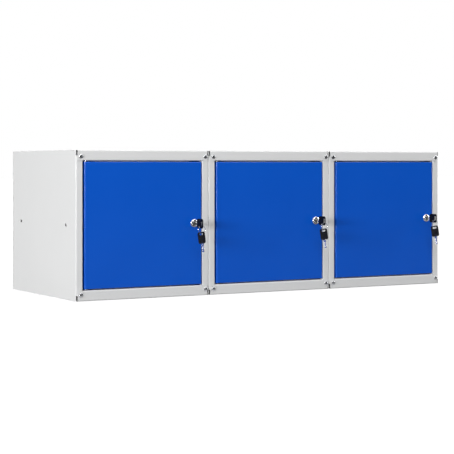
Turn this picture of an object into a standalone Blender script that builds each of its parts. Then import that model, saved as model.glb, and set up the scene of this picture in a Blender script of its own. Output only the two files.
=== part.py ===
"""A bank of three steel cube lockers: folded carcasses, pan doors, cam locks and keys."""
import math

import bmesh
import bpy
from mathutils import Matrix, Vector

# Bank: it stands on z = 0, its front faces -Y, and the origin is the middle of its base
CUBE_COUNT = 3
CUBE_WIDTH = 0.400
CUBE_DEPTH = 0.450
CUBE_HEIGHT = 0.400
CUBE_GAP = 0.0005

# Sheet steel, and the small gap that pieces keep where they seat on each other
SHEET = 0.001
SEAT_GAP = 0.0003
FOLD_RADIUS = 0.003
RELIEF_WIDTH = 0.001

# Side panels: a stile folded at the front, a flange at the back
STILE_WIDTH = 0.020
STILE_END = 0.005
CORNER_SLIT_HEIGHT = 0.014
BACK_FLANGE = 0.015
JOIN_HOLE_RADIUS = 0.0035
JOIN_HOLE_DEPTH_SHARES = (0.15, 0.86)

# Top and bottom panels: a rail folded at the front, with a lip that stops the door
RAIL_HEIGHT = 0.028
STOP_LIP = 0.008
STOP_NOTCH = 0.030
STOP_CLEARANCE = 0.001
SIDE_FLANGE = 0.027
FLANGE_RELIEF = 0.022

# Corner screws, which hold each rail to the stiles behind it
SCREW_INSET_LEFT = 0.0145
SCREW_INSET_RIGHT = 0.0105
SCREW_INSET_Z = 0.0165
SCREW_RADIUS = 0.003
SCREW_LENGTH = 0.009
SCREW_HEAD_RADIUS = 0.006
SCREW_HEAD_HEIGHT = 0.0028

# Bolts that join one cube to the next through the side panels
BOLT_RADIUS = 0.003
BOLT_HEX_RADIUS = 0.0058
BOLT_HEAD_HEIGHT = 0.004
BOLT_NUT_HEIGHT = 0.005
BOLT_END = 0.002

# Door: a pan with folded edges and a lip all round its back
DOOR_SETBACK = 0.0005
DOOR_DEPTH = 0.015
DOOR_LIP = 0.012
DOOR_FOLD_RADIUS = 0.0025
DOOR_END_GAP = 0.003
LOCK_SIDE_GAP = 0.0025

# Hinge pins, one riveted in each rail's lip
PIN_INSET_X = 0.008
PIN_INSET_Y = 0.009
PIN_RADIUS = 0.0025
PIN_COLLAR_RADIUS = 0.0045
PIN_HEAD_RADIUS = 0.0038
PIN_HEAD_HEIGHT = 0.0015
PIN_REACH = 0.008
PIN_END_CHAMFER = 0.0008
HINGE_CLEARANCE = 0.001

# Key: a steel blade moulded into a flat plastic bow with a slot for the ring; it rests part
# way out of the lock
KEY_OUT = 0.010
BLADE_LENGTH = 0.020
BLADE_HEIGHT = 0.0075
BLADE_THICKNESS = 0.0019
BLADE_ROOT = 0.004
BLADE_TIP = 0.0018
SHOULDER_LENGTH = 0.004
SHOULDER_WIDTH = 0.0095
BLADE_CUT_WIDTH_SHARE = 0.85
BLADE_CUT_DEPTH_SHARES = (0.20, 0.34, 0.14, 0.28)
BOW_LENGTH = 0.032
BOW_WIDTH = 0.026
BOW_THICKNESS = 0.0026
BOW_CORNER_RADIUS = 0.0055
SLOT_LENGTH = 0.014
SLOT_WIDTH = 0.0055
SLOT_INSET = 0.006
KEY_CLEARANCE = 0.0003

# Cam lock: a chrome face and barrel with two flats, its nut, the turning plug and the cam
LOCK_INSET = 0.0235
LOCK_FACE_RADIUS = 0.0115
LOCK_FACE_HEIGHT = 0.0042
LOCK_FACE_EDGE = 0.0012
LOCK_FACE_SLOPE = 0.0018
LOCK_BARREL_RADIUS = 0.0095
LOCK_FLAT = 0.008
LOCK_BORE_RADIUS = 0.0068
LOCK_NUT_RADIUS = 0.0128
LOCK_NUT_HEIGHT = 0.004
PLUG_RECESS = 0.0006
PLUG_CHAMFER = 0.0005
PLUG_WEB = 0.001
CAM_THICKNESS = 0.002
CAM_WIDTH = 0.016
CAM_HOLD = 0.010
CAM_CLEARANCE = 0.0008
SHANK_SIDE = 0.0064
CAM_SCREW_RADIUS = 0.0046
CAM_SCREW_HEIGHT = 0.0024

# Key ring, and the spare key that hangs from it
RING_RADIUS = 0.0106
RING_WIRE_RADIUS = 0.0009
RING_HANG_GAP = 0.0006
SPARE_HANG_GAP = 0.0005
SPARE_OFFSET = 0.0026
SPARE_YAW = math.radians(-72)
SPARE_TILT = math.radians(10)

# Roundness of curved surfaces, in steps or segments
FOLD_SEGMENTS = 3
ROUND_STEPS = 20
SMALL_STEPS = 12
HOLE_SEGMENTS = 12
CORNER_STEPS = 3
RING_SEGMENTS = 24
WIRE_SEGMENTS = 6
HEX = 6
SMOOTH_ANGLE = math.radians(35)
MERGE = 0.00001

# One overrun for every cut
OVERRUN = 0.002

# Places that follow from the sizes above, in a cube's own frame: x from its left side,
# y from its front and z from its base
STILE_FRONT = SHEET + SEAT_GAP
BACK_FRONT = CUBE_DEPTH - SHEET - SEAT_GAP
FOLD_CLEAR = FOLD_RADIUS + SEAT_GAP
FLANGE_X = SHEET + SEAT_GAP
RAIL_END = FLANGE_X + FOLD_CLEAR
STILE_START = RAIL_END + SHEET
STOP_TOP = RAIL_HEIGHT + STOP_LIP
SWING_RADIUS = math.hypot(PIN_INSET_X, PIN_INSET_Y)
HINGE_SIDE_GAP = SWING_RADIUS - PIN_INSET_X + HINGE_CLEARANCE
DOOR_LEFT = STILE_WIDTH + HINGE_SIDE_GAP
DOOR_WIDTH = CUBE_WIDTH - STILE_WIDTH - LOCK_SIDE_GAP - DOOR_LEFT
DOOR_BOTTOM = RAIL_HEIGHT + DOOR_END_GAP
DOOR_HEIGHT = CUBE_HEIGHT - 2 * DOOR_BOTTOM
HINGE_X = DOOR_LEFT + PIN_INSET_X
HINGE_Y = DOOR_SETBACK + PIN_INSET_Y
STOP_FRONT = DOOR_SETBACK + DOOR_DEPTH + STOP_CLEARANCE
PIN_HOLE_RADIUS = PIN_RADIUS + SEAT_GAP
SCREW_HOLE_RADIUS = SCREW_RADIUS + SEAT_GAP
LOCK_BARREL_LENGTH = BLADE_LENGTH - LOCK_FACE_HEIGHT - SEAT_GAP + KEY_CLEARANCE + PLUG_WEB
CAM_FRONT = LOCK_BARREL_LENGTH + 2 * SEAT_GAP
CAM_LENGTH = LOCK_INSET + LOCK_SIDE_GAP + CAM_HOLD
STILE_LIP_END = DOOR_SETBACK + CAM_FRONT - CAM_CLEARANCE
PLUG_RADIUS = LOCK_BORE_RADIUS - SEAT_GAP
SLOT_ALONG = BOW_LENGTH - SLOT_INSET
BRIDGE_WIDTH = (BOW_WIDTH - SLOT_LENGTH) / 2
BRIDGE_MIDDLE = (BOW_WIDTH - BRIDGE_WIDTH) / 2
RING_DROP = RING_RADIUS - RING_WIRE_RADIUS - RING_HANG_GAP - BRIDGE_WIDTH / 2
BANK_WIDTH = CUBE_COUNT * CUBE_WIDTH + (CUBE_COUNT - 1) * CUBE_GAP


# Scene, collections and materials
def clear_scene():
    for item in list(bpy.data.objects):
        bpy.data.objects.remove(item, do_unlink=True)


def new_collection(name):
    made = bpy.data.collections.new(name)
    bpy.context.scene.collection.children.link(made)
    return made


def new_material(name, colour, metallic, roughness):
    made = bpy.data.materials.new(name)
    made.use_nodes = True
    shader = made.node_tree.nodes["Principled BSDF"]
    shader.inputs["Base Color"].default_value = (*colour, 1.0)
    shader.inputs["Metallic"].default_value = metallic
    shader.inputs["Roughness"].default_value = roughness
    return made


clear_scene()
PARTS = new_collection("cube_locker_bank")
CUTTERS = new_collection("cutters")
GREY_PAINT = new_material("light_grey_paint", (0.72, 0.73, 0.73), 0.0, 0.45)
BLUE_PAINT = new_material("blue_paint", (0.010, 0.080, 0.440), 0.0, 0.40)
CHROME = new_material("chrome", (0.80, 0.80, 0.82), 1.0, 0.12)
ZINC = new_material("zinc_plated_steel", (0.62, 0.63, 0.65), 1.0, 0.35)
BLACK_PLASTIC = new_material("black_plastic", (0.012, 0.012, 0.013), 0.0, 0.35)


# Objects and modifiers
def to_mesh(name, shape):
    data = bpy.data.meshes.new(name)
    shape.to_mesh(data)
    shape.free()
    return data


def place(name, shape, parent, location=(0, 0, 0), rotation=(0, 0, 0), material=None):
    """Adds a sub-part at its own origin, under what carries it."""
    made = bpy.data.objects.new(name, to_mesh(name, shape))
    PARTS.objects.link(made)
    made.parent = parent
    made.location = location
    made.rotation_euler = rotation
    made.data.materials.append(material)
    return made


def place_pivot(name, parent, location=(0, 0, 0), rotation=(0, 0, 0)):
    made = bpy.data.objects.new(name, None)
    PARTS.objects.link(made)
    made.parent = parent
    made.location = location
    made.rotation_euler = rotation
    return made


def combine(piece, shape, operation):
    """Joins a shape to a piece, or cuts it from the piece, in the piece's own frame."""
    name = f"{piece.name}_{operation.lower()}_{len(piece.modifiers)}"
    tool = bpy.data.objects.new(name, to_mesh(name, shape))
    CUTTERS.objects.link(tool)
    tool.parent = piece
    tool.hide_render = True
    tool.display_type = "WIRE"
    boolean = piece.modifiers.new(name, "BOOLEAN")
    boolean.operation = operation
    boolean.solver = "EXACT"
    boolean.object = tool


def cut(piece, shape):
    combine(piece, shape, "DIFFERENCE")


def join(piece, shape):
    combine(piece, shape, "UNION")


def round_edges(piece, width, segments):
    bevel = piece.modifiers.new("rounded_edges", "BEVEL")
    bevel.width = width
    bevel.segments = segments
    bevel.limit_method = "ANGLE"
    bevel.angle_limit = SMOOTH_ANGLE


def thicken(piece):
    """Gives an open skin the sheet's thickness, on the side away from its normals."""
    solidify = piece.modifiers.new("sheet_thickness", "SOLIDIFY")
    solidify.thickness = SHEET
    solidify.offset = -1.0
    solidify.use_even_offset = True


def shade_round(piece):
    piece.data.shade_smooth()
    piece.data.set_sharp_from_angle(angle=SMOOTH_ANGLE)


# Basic shapes
def box_shape(low, high):
    shape = bmesh.new()
    bmesh.ops.create_cube(shape, size=1.0)
    low = Vector(low)
    high = Vector(high)
    bmesh.ops.scale(shape, vec=high - low, verts=shape.verts)
    bmesh.ops.translate(shape, vec=(low + high) / 2, verts=shape.verts)
    return shape


def rod_shape(start, end, radius, segments=HOLE_SEGMENTS):
    """A round or many-sided rod from one point to another."""
    start = Vector(start)
    end = Vector(end)
    turn = (end - start).to_track_quat("Z", "Y").to_matrix().to_4x4()
    shape = bmesh.new()
    bmesh.ops.create_cone(
        shape,
        cap_ends=True,
        segments=segments,
        radius1=radius,
        radius2=radius,
        depth=(end - start).length,
        matrix=Matrix.Translation((start + end) / 2) @ turn,
    )
    return shape


def profile_shape(points):
    """An open line of points, as the profile of a turned or folded piece."""
    shape = bmesh.new()
    corners = [shape.verts.new(point) for point in points]
    for first, second in zip(corners, corners[1:]):
        shape.edges.new((first, second))
    return shape


def folded_shape(points, run):
    """The skin of a folded strip: its profile, drawn out along one straight run."""
    shape = profile_shape(points)
    fold_up(shape, shape.edges[:], run)
    return shape


def notch(shape, first, second):
    """Removes the part of a folded skin that lies between two opposite corners."""
    low = [min(pair) for pair in zip(first, second)]
    high = [max(pair) for pair in zip(first, second)]
    for axis in range(3):
        normal = Vector((axis == 0, axis == 1, axis == 2))
        for value in (low[axis], high[axis]):
            skin = shape.verts[:] + shape.edges[:] + shape.faces[:]
            bmesh.ops.bisect_plane(
                shape, geom=skin, dist=MERGE, plane_co=normal * value, plane_no=normal
            )
    inside = [face for face in shape.faces if is_between(face.calc_center_median(), low, high)]
    bmesh.ops.delete(shape, geom=inside, context="FACES")


def is_between(point, low, high):
    return all(low[axis] - MERGE < point[axis] < high[axis] + MERGE for axis in range(3))


def fold_up(shape, edges, offset):
    """Folds a flange out of the skin along a straight border."""
    made = bmesh.ops.extrude_edge_only(shape, edges=edges)
    moved = [item for item in made["geom"] if isinstance(item, bmesh.types.BMVert)]
    bmesh.ops.translate(shape, verts=moved, vec=offset)


def merge_flats(shape):
    """Leaves one face for each flat stretch of the skin."""
    bmesh.ops.dissolve_limit(
        shape, angle_limit=math.radians(1), verts=shape.verts[:], edges=shape.edges[:]
    )


def turn_profile(name, profile, parent, location, rotation, material, steps=ROUND_STEPS):
    """A turned piece about its own Z axis, from (radius, height) points down its outside."""
    shape = profile_shape([(radius, 0, height) for radius, height in profile])
    made = place(name, shape, parent, location, rotation, material)
    screw = made.modifiers.new("turning", "SCREW")
    screw.axis = "Z"
    screw.steps = steps
    screw.render_steps = steps
    screw.use_merge_vertices = True
    screw.merge_threshold = MERGE
    screw.use_smooth_shade = True
    return made


def plate_shape(outlines, thickness):
    """A flat plate on the XY plane: the first outline is its edge, the others its holes."""
    curve = bpy.data.curves.new("outline", "CURVE")
    curve.dimensions = "2D"
    curve.fill_mode = "BOTH"
    curve.extrude = thickness / 2
    for outline in outlines:
        spline = curve.splines.new("POLY")
        spline.points.add(len(outline) - 1)
        for point, (x, y) in zip(spline.points, outline):
            point.co = (x, y, 0, 1)
        spline.use_cyclic_u = True
    guide = bpy.data.objects.new("outline", curve)
    CUTTERS.objects.link(guide)
    bpy.context.view_layer.update()
    graph = bpy.context.evaluated_depsgraph_get()
    data = bpy.data.meshes.new_from_object(guide.evaluated_get(graph))
    shape = bmesh.new()
    shape.from_mesh(data)
    bmesh.ops.remove_doubles(shape, verts=shape.verts, dist=MERGE)
    bpy.data.objects.remove(guide, do_unlink=True)
    bpy.data.meshes.remove(data)
    return shape


def rounded_outline(low, high, radius):
    """A rectangle with round corners, anticlockwise."""
    centres = (
        (high[0] - radius, high[1] - radius),
        (low[0] + radius, high[1] - radius),
        (low[0] + radius, low[1] + radius),
        (high[0] - radius, low[1] + radius),
    )
    points = []
    for corner, (x, y) in enumerate(centres):
        for step in range(CORNER_STEPS + 1):
            angle = math.pi / 2 * (corner + step / CORNER_STEPS)
            points.append((x + radius * math.cos(angle), y + radius * math.sin(angle)))
    return points


# Side panels
def sheet_panel(cube, name, shape, flipped):
    """A folded panel; the flipped one is turned end for end about the cube's middle."""
    location = (CUBE_WIDTH, 0, CUBE_HEIGHT) if flipped else (0, 0, 0)
    rotation = (0, math.pi, 0) if flipped else (0, 0, 0)
    merge_flats(shape)
    panel = place(name, shape, cube, location, rotation, GREY_PAINT)
    round_edges(panel, FOLD_RADIUS, FOLD_SEGMENTS)
    thicken(panel)
    return panel


def side_panel(cube, name, screw_inset, flipped):
    """Side sheet with stile, stile lip and back flange."""
    profile = (
        (STILE_WIDTH, STILE_LIP_END, 0),
        (STILE_WIDTH, STILE_FRONT, 0),
        (0, STILE_FRONT, 0),
        (0, BACK_FRONT, 0),
        (BACK_FLANGE, BACK_FRONT, 0),
    )
    shape = folded_shape(profile, (0, 0, CUBE_HEIGHT))
    for end, inward in ((0, 1), (CUBE_HEIGHT, -1)):
        trim_stile_end(shape, end, inward)
    panel = sheet_panel(cube, name, shape, flipped)
    for screw_z in (SCREW_INSET_Z, CUBE_HEIGHT - SCREW_INSET_Z):
        start = (screw_inset, STILE_FRONT - OVERRUN, screw_z)
        finish = (screw_inset, STILE_FRONT + SHEET + OVERRUN, screw_z)
        cut(panel, rod_shape(start, finish, SCREW_HOLE_RADIUS))
    for share in JOIN_HOLE_DEPTH_SHARES:
        start = (-OVERRUN, CUBE_DEPTH * share, CUBE_HEIGHT / 2)
        finish = (SHEET + OVERRUN, CUBE_DEPTH * share, CUBE_HEIGHT / 2)
        cut(panel, rod_shape(start, finish, JOIN_HOLE_RADIUS))
    shade_round(panel)


def trim_stile_end(shape, end, inward):
    """Opens the slit at one corner, and cuts the stile back to what the rail covers."""
    slit_end = end + inward * CORNER_SLIT_HEIGHT
    relief = slit_end - inward * RELIEF_WIDTH
    stile_end = end + inward * STILE_END
    lip_end = end + inward * (RAIL_HEIGHT + SEAT_GAP)
    lip_relief = STILE_WIDTH - FOLD_CLEAR
    notch(shape, (0, STILE_FRONT, end), (STILE_START, STILE_FRONT, slit_end))
    notch(shape, (0, STILE_FRONT, relief), (0, STILE_FRONT + FOLD_CLEAR, slit_end))
    notch(shape, (0, STILE_FRONT, end), (STILE_WIDTH, STILE_FRONT, stile_end))
    notch(shape, (lip_relief, STILE_FRONT, end), (STILE_WIDTH, STILE_LIP_END, lip_end))


# Top and bottom panels
def rail_panel(cube, name, screw_insets, flipped):
    """Flat sheet with rail, lip and door stop at the front, and flanges at sides and back."""
    profile = (
        (FLANGE_X, BACK_FRONT, BACK_FLANGE),
        (FLANGE_X, BACK_FRONT, 0),
        (FLANGE_X, 0, 0),
        (FLANGE_X, 0, RAIL_HEIGHT),
        (FLANGE_X, STOP_FRONT, RAIL_HEIGHT),
        (FLANGE_X, STOP_FRONT, STOP_TOP),
    )
    shape = folded_shape(profile, (CUBE_WIDTH - 2 * FLANGE_X, 0, 0))
    for end, inward in ((0, 1), (CUBE_WIDTH, -1)):
        trim_rail_end(shape, end, inward)
        fold_side_flange(shape, end + inward * FLANGE_X)
    panel = sheet_panel(cube, name, shape, flipped)
    for screw_x in (screw_insets[0], CUBE_WIDTH - screw_insets[1]):
        start = (screw_x, -OVERRUN, SCREW_INSET_Z)
        finish = (screw_x, SHEET + OVERRUN, SCREW_INSET_Z)
        cut(panel, rod_shape(start, finish, SCREW_HOLE_RADIUS))
    hinge_x = CUBE_WIDTH - HINGE_X if flipped else HINGE_X
    start = (hinge_x, HINGE_Y, RAIL_HEIGHT - SHEET - OVERRUN)
    finish = (hinge_x, HINGE_Y, RAIL_HEIGHT + OVERRUN)
    cut(panel, rod_shape(start, finish, PIN_HOLE_RADIUS))
    shade_round(panel)


def trim_rail_end(shape, end, inward):
    """Cuts the sheet, the lip, the stop and the back flange clear of the side panel."""
    rail_end = end + inward * RAIL_END
    lip_start = end + inward * (STILE_WIDTH + SEAT_GAP)
    stop_start = end + inward * (DOOR_LEFT + STOP_NOTCH)
    flange_start = end + inward * (BACK_FLANGE + SEAT_GAP)
    notch(shape, (end, 0, 0), (rail_end, FLANGE_RELIEF, STOP_TOP))
    notch(shape, (end, CUBE_DEPTH - FLANGE_RELIEF, 0), (rail_end, BACK_FRONT, BACK_FLANGE))
    notch(shape, (end, 0, RAIL_HEIGHT), (lip_start, STOP_FRONT, STOP_TOP))
    cut_relief(shape, lip_start, inward, (0, RAIL_HEIGHT - FOLD_CLEAR), (0, RAIL_HEIGHT))
    notch(shape, (end, STOP_FRONT, RAIL_HEIGHT), (stop_start, STOP_FRONT, STOP_TOP))
    cut_relief(shape, stop_start, inward, (STOP_FRONT - FOLD_CLEAR, RAIL_HEIGHT), (STOP_FRONT, RAIL_HEIGHT))
    notch(shape, (end, BACK_FRONT - FOLD_CLEAR, 0), (flange_start, BACK_FRONT, BACK_FLANGE))


def cut_relief(shape, at, inward, first, second):
    """A narrow slot beside the end of a fold, between two places given as (y, z)."""
    notch(shape, (at - inward * RELIEF_WIDTH, *first), (at, *second))


def fold_side_flange(shape, at):
    """Folds up the flange that seats against the side sheet, short of both corners."""
    border = [
        edge for edge in shape.edges
        if edge.is_boundary and all(abs(vert.co.x - at) < MERGE for vert in edge.verts)
    ]
    fold_up(shape, border, (0, 0, SIDE_FLANGE))


def back_panel(cube, name):
    low = (0, CUBE_DEPTH - SHEET, 0)
    high = (CUBE_WIDTH, CUBE_DEPTH, CUBE_HEIGHT)
    place(name, box_shape(low, high), cube, material=GREY_PAINT)


# Fasteners
def corner_screw(cube, name, x, z):
    """A domed screw, its head seated on the rail's face."""
    profile = [
        (SCREW_HEAD_RADIUS * math.sin(angle), SEAT_GAP + SCREW_HEAD_HEIGHT * math.cos(angle))
        for angle in (math.pi / 2 * step / CORNER_STEPS for step in range(CORNER_STEPS + 1))
    ]
    profile += [(SCREW_RADIUS, SEAT_GAP), (SCREW_RADIUS, -SCREW_LENGTH), (0, -SCREW_LENGTH)]
    turn_profile(name, profile, cube, (x, 0, z), (math.pi / 2, 0, 0), ZINC, SMALL_STEPS)


def corner_screws(cube, prefix):
    places = (
        ("upper_left", SCREW_INSET_LEFT, CUBE_HEIGHT - SCREW_INSET_Z),
        ("lower_left", SCREW_INSET_LEFT, SCREW_INSET_Z),
        ("upper_right", CUBE_WIDTH - SCREW_INSET_RIGHT, CUBE_HEIGHT - SCREW_INSET_Z),
        ("lower_right", CUBE_WIDTH - SCREW_INSET_RIGHT, SCREW_INSET_Z),
    )
    for corner, x, z in places:
        corner_screw(cube, f"{prefix}_screw_{corner}", x, z)


def joining_bolt(cube, name, at):
    """A hexagon bolt with its nut, through two neighbours' side sheets, head in this cube."""
    head_seat = -SHEET - SEAT_GAP
    nut_seat = CUBE_GAP + SHEET + SEAT_GAP
    nut_end = nut_seat + BOLT_NUT_HEIGHT
    shape = rod_shape((head_seat - BOLT_HEAD_HEIGHT / 2, 0, 0), (nut_end + BOLT_END, 0, 0), BOLT_RADIUS)
    bolt = place(name, shape, cube, (CUBE_WIDTH, at, CUBE_HEIGHT / 2), material=ZINC)
    head = rod_shape((head_seat - BOLT_HEAD_HEIGHT, 0, 0), (head_seat, 0, 0), BOLT_HEX_RADIUS, HEX)
    nut = rod_shape((nut_seat, 0, 0), (nut_end, 0, 0), BOLT_HEX_RADIUS, HEX)
    join(bolt, head)
    join(bolt, nut)


def hinge_pin(cube, name, flipped):
    """A rivet head under the rail's lip, a collar in the door gap, and the pin itself."""
    collar_top = DOOR_END_GAP - SEAT_GAP
    head_top = -SHEET - SEAT_GAP
    profile = (
        (0, DOOR_END_GAP + PIN_REACH),
        (PIN_RADIUS - PIN_END_CHAMFER, DOOR_END_GAP + PIN_REACH),
        (PIN_RADIUS, DOOR_END_GAP + PIN_REACH - PIN_END_CHAMFER),
        (PIN_RADIUS, collar_top),
        (PIN_COLLAR_RADIUS, collar_top),
        (PIN_COLLAR_RADIUS, SEAT_GAP),
        (PIN_RADIUS, SEAT_GAP),
        (PIN_RADIUS, head_top),
        (PIN_HEAD_RADIUS, head_top),
        (PIN_HEAD_RADIUS, head_top - PIN_HEAD_HEIGHT),
        (0, head_top - PIN_HEAD_HEIGHT),
    )
    z = CUBE_HEIGHT - RAIL_HEIGHT if flipped else RAIL_HEIGHT
    rotation = (math.pi, 0, 0) if flipped else (0, 0, 0)
    turn_profile(name, profile, cube, (HINGE_X, HINGE_Y, z), rotation, ZINC, SMALL_STEPS)


# Door
def door_shape():
    """The skin of the door pan: an open-backed box with a lip turned in round its back."""
    low = (-PIN_INSET_X, -PIN_INSET_Y, 0)
    high = (DOOR_WIDTH - PIN_INSET_X, DOOR_DEPTH - PIN_INSET_Y, DOOR_HEIGHT)
    shape = box_shape(low, high)
    back = max(shape.faces, key=lambda face: face.calc_center_median().y)
    bmesh.ops.inset_region(shape, faces=[back], thickness=DOOR_LIP, use_even_offset=True)
    bmesh.ops.delete(shape, geom=[back], context="FACES")
    return shape


def door(cube, name):
    """The pan, with its origin on the hinge axis at its lower edge."""
    location = (HINGE_X, HINGE_Y, DOOR_BOTTOM)
    panel = place(name, door_shape(), cube, location, material=BLUE_PAINT)
    round_edges(panel, DOOR_FOLD_RADIUS, FOLD_SEGMENTS)
    thicken(panel)
    cut(panel, rod_shape((0, 0, -OVERRUN), (0, 0, DOOR_HEIGHT + OVERRUN), PIN_HOLE_RADIUS))
    cut(panel, lock_hole_shape())
    shade_round(panel)
    return panel


def lock_centre():
    """The lock's axis on the door's front face, from the door's own origin."""
    x = DOOR_WIDTH - PIN_INSET_X - LOCK_INSET
    return Vector((x, -PIN_INSET_Y, DOOR_HEIGHT / 2))


def lock_hole_shape():
    """A round hole with two flats, which keeps the barrel from turning."""
    centre = lock_centre()
    start = centre - Vector((0, OVERRUN, 0))
    finish = centre + Vector((0, SHEET + OVERRUN, 0))
    shape = rod_shape(start, finish, LOCK_BARREL_RADIUS + SEAT_GAP, ROUND_STEPS)
    reach = LOCK_FLAT + SEAT_GAP
    for vert in shape.verts:
        vert.co.x = min(max(vert.co.x, centre.x - reach), centre.x + reach)
    return shape


# Lock: its own frame has x to the right, y up and z out of the door
def lock_body(panel, name):
    """Chrome face, barrel with two flats and its hexagon nut, bored for the plug."""
    rim = LOCK_FACE_RADIUS - LOCK_FACE_SLOPE - LOCK_FACE_EDGE
    profile = (
        (0, LOCK_FACE_HEIGHT),
        (rim, LOCK_FACE_HEIGHT),
        (rim + LOCK_FACE_SLOPE, LOCK_FACE_HEIGHT - LOCK_FACE_EDGE),
        (LOCK_FACE_RADIUS, LOCK_FACE_EDGE),
        (LOCK_FACE_RADIUS, SEAT_GAP),
        (LOCK_BARREL_RADIUS, SEAT_GAP),
        (LOCK_BARREL_RADIUS, -LOCK_BARREL_LENGTH),
        (0, -LOCK_BARREL_LENGTH),
    )
    body = turn_profile(name, profile, panel, lock_centre(), (math.pi / 2, 0, 0), CHROME)
    far = LOCK_FACE_RADIUS + OVERRUN
    below = -LOCK_BARREL_LENGTH - OVERRUN
    cut(body, box_shape((LOCK_FLAT, -far, below), (far, far, SEAT_GAP)))
    cut(body, box_shape((-far, -far, below), (-LOCK_FLAT, far, SEAT_GAP)))
    nut_top = -SHEET - SEAT_GAP
    join(body, rod_shape((0, 0, nut_top - LOCK_NUT_HEIGHT), (0, 0, nut_top), LOCK_NUT_RADIUS, HEX))
    bore = rod_shape((0, 0, below), (0, 0, LOCK_FACE_HEIGHT + OVERRUN), LOCK_BORE_RADIUS, ROUND_STEPS)
    cut(body, bore)


def lock_plug(panel, name):
    """The turning plug: keyway in front, square shank and cam screw behind."""
    face = LOCK_FACE_HEIGHT - PLUG_RECESS
    shoulder = -LOCK_BARREL_LENGTH - SEAT_GAP
    cam_back = -CAM_FRONT - CAM_THICKNESS - SEAT_GAP
    neck = SHANK_SIDE / 2
    profile = (
        (0, face),
        (PLUG_RADIUS - PLUG_CHAMFER, face),
        (PLUG_RADIUS, face - PLUG_CHAMFER),
        (PLUG_RADIUS, shoulder),
        (neck, shoulder),
        (neck, cam_back),
        (CAM_SCREW_RADIUS, cam_back),
        (CAM_SCREW_RADIUS, cam_back - CAM_SCREW_HEIGHT),
        (0, cam_back - CAM_SCREW_HEIGHT),
    )
    plug = turn_profile(name, profile, panel, lock_centre(), (math.pi / 2, 0, 0), CHROME)
    half = SHANK_SIDE / 2
    shank_low = (-half, -half, cam_back - CAM_SCREW_HEIGHT / 2)
    shank_high = (half, half, shoulder + PLUG_WEB / 2)
    join(plug, box_shape(shank_low, shank_high))
    half_x = BLADE_THICKNESS / 2 + KEY_CLEARANCE
    half_y = BLADE_HEIGHT / 2 + KEY_CLEARANCE
    keyway_end = LOCK_FACE_HEIGHT + SEAT_GAP - BLADE_LENGTH - KEY_CLEARANCE
    cut(plug, box_shape((-half_x, -half_y, keyway_end), (half_x, half_y, face + OVERRUN)))
    return plug


def cam_outline():
    """The cam seen from the front, pointing up: a round hub that runs into a round-ended arm."""
    half = CAM_WIDTH / 2
    steps = 2 * CORNER_STEPS
    tip_radius = half / 2
    hub = [math.pi + math.pi * step / steps for step in range(steps + 1)]
    points = [(half * math.cos(angle), half * math.sin(angle)) for angle in hub]
    for centre_x, start in ((half - tip_radius, 0), (tip_radius - half, math.pi / 2)):
        for step in range(CORNER_STEPS + 1):
            angle = start + math.pi / 2 * step / CORNER_STEPS
            x = centre_x + tip_radius * math.cos(angle)
            y = CAM_LENGTH - tip_radius + tip_radius * math.sin(angle)
            points.append((x, y))
    return points


def lock_cam(plug, name):
    half = SHANK_SIDE / 2 + SEAT_GAP
    square = [(-half, -half), (half, -half), (half, half), (-half, half)]
    shape = plate_shape([cam_outline(), square], CAM_THICKNESS)
    middle = -CAM_FRONT - CAM_THICKNESS / 2
    place(name, shape, plug, (0, 0, middle), material=ZINC)


# Keys: a key's own frame has x across it, y from its tip to its bow, z through its flat
def blade_outline():
    """The blade with its row of cuts and its shoulder, rooted in the bow above y = 0."""
    half = BLADE_HEIGHT / 2
    shoulder = SHOULDER_WIDTH / 2
    slope = half - shoulder
    tip = -SHOULDER_LENGTH - BLADE_LENGTH
    points = [
        (-shoulder, BLADE_ROOT),
        (-shoulder, -SHOULDER_LENGTH - slope),
        (-half, -SHOULDER_LENGTH),
        (-half, tip + BLADE_TIP),
        (BLADE_TIP - half, tip),
        (half - BLADE_TIP, tip),
        (half, tip + BLADE_TIP),
    ]
    pitch = (BLADE_LENGTH - BLADE_TIP) / (len(BLADE_CUT_DEPTH_SHARES) + 1)
    reach = pitch * BLADE_CUT_WIDTH_SHARE / 2
    for number, share in enumerate(BLADE_CUT_DEPTH_SHARES):
        at = tip + BLADE_TIP + pitch * number + pitch / 2
        points.append((half, at - reach))
        points.append((half - BLADE_HEIGHT * share, at))
        points.append((half, at + reach))
    points.append((half, -SHOULDER_LENGTH))
    points.append((shoulder, -SHOULDER_LENGTH - slope))
    points.append((shoulder, BLADE_ROOT))
    return points


def key_piece(parent, name, location, rotation):
    """A whole key, with its origin where the blade leaves the bow."""
    half = BOW_WIDTH / 2
    bow = rounded_outline((-half, 0), (half, BOW_LENGTH), BOW_CORNER_RADIUS)
    slot_low = (-SLOT_LENGTH / 2, SLOT_ALONG - SLOT_WIDTH / 2)
    slot_high = (SLOT_LENGTH / 2, SLOT_ALONG + SLOT_WIDTH / 2)
    slot = rounded_outline(slot_low, slot_high, SLOT_WIDTH / 2)
    key = place(name, plate_shape([bow, slot], BOW_THICKNESS), parent, location, rotation, BLACK_PLASTIC)
    join(key, plate_shape([blade_outline()], BLADE_THICKNESS))
    shade_round(key)
    return key


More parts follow.
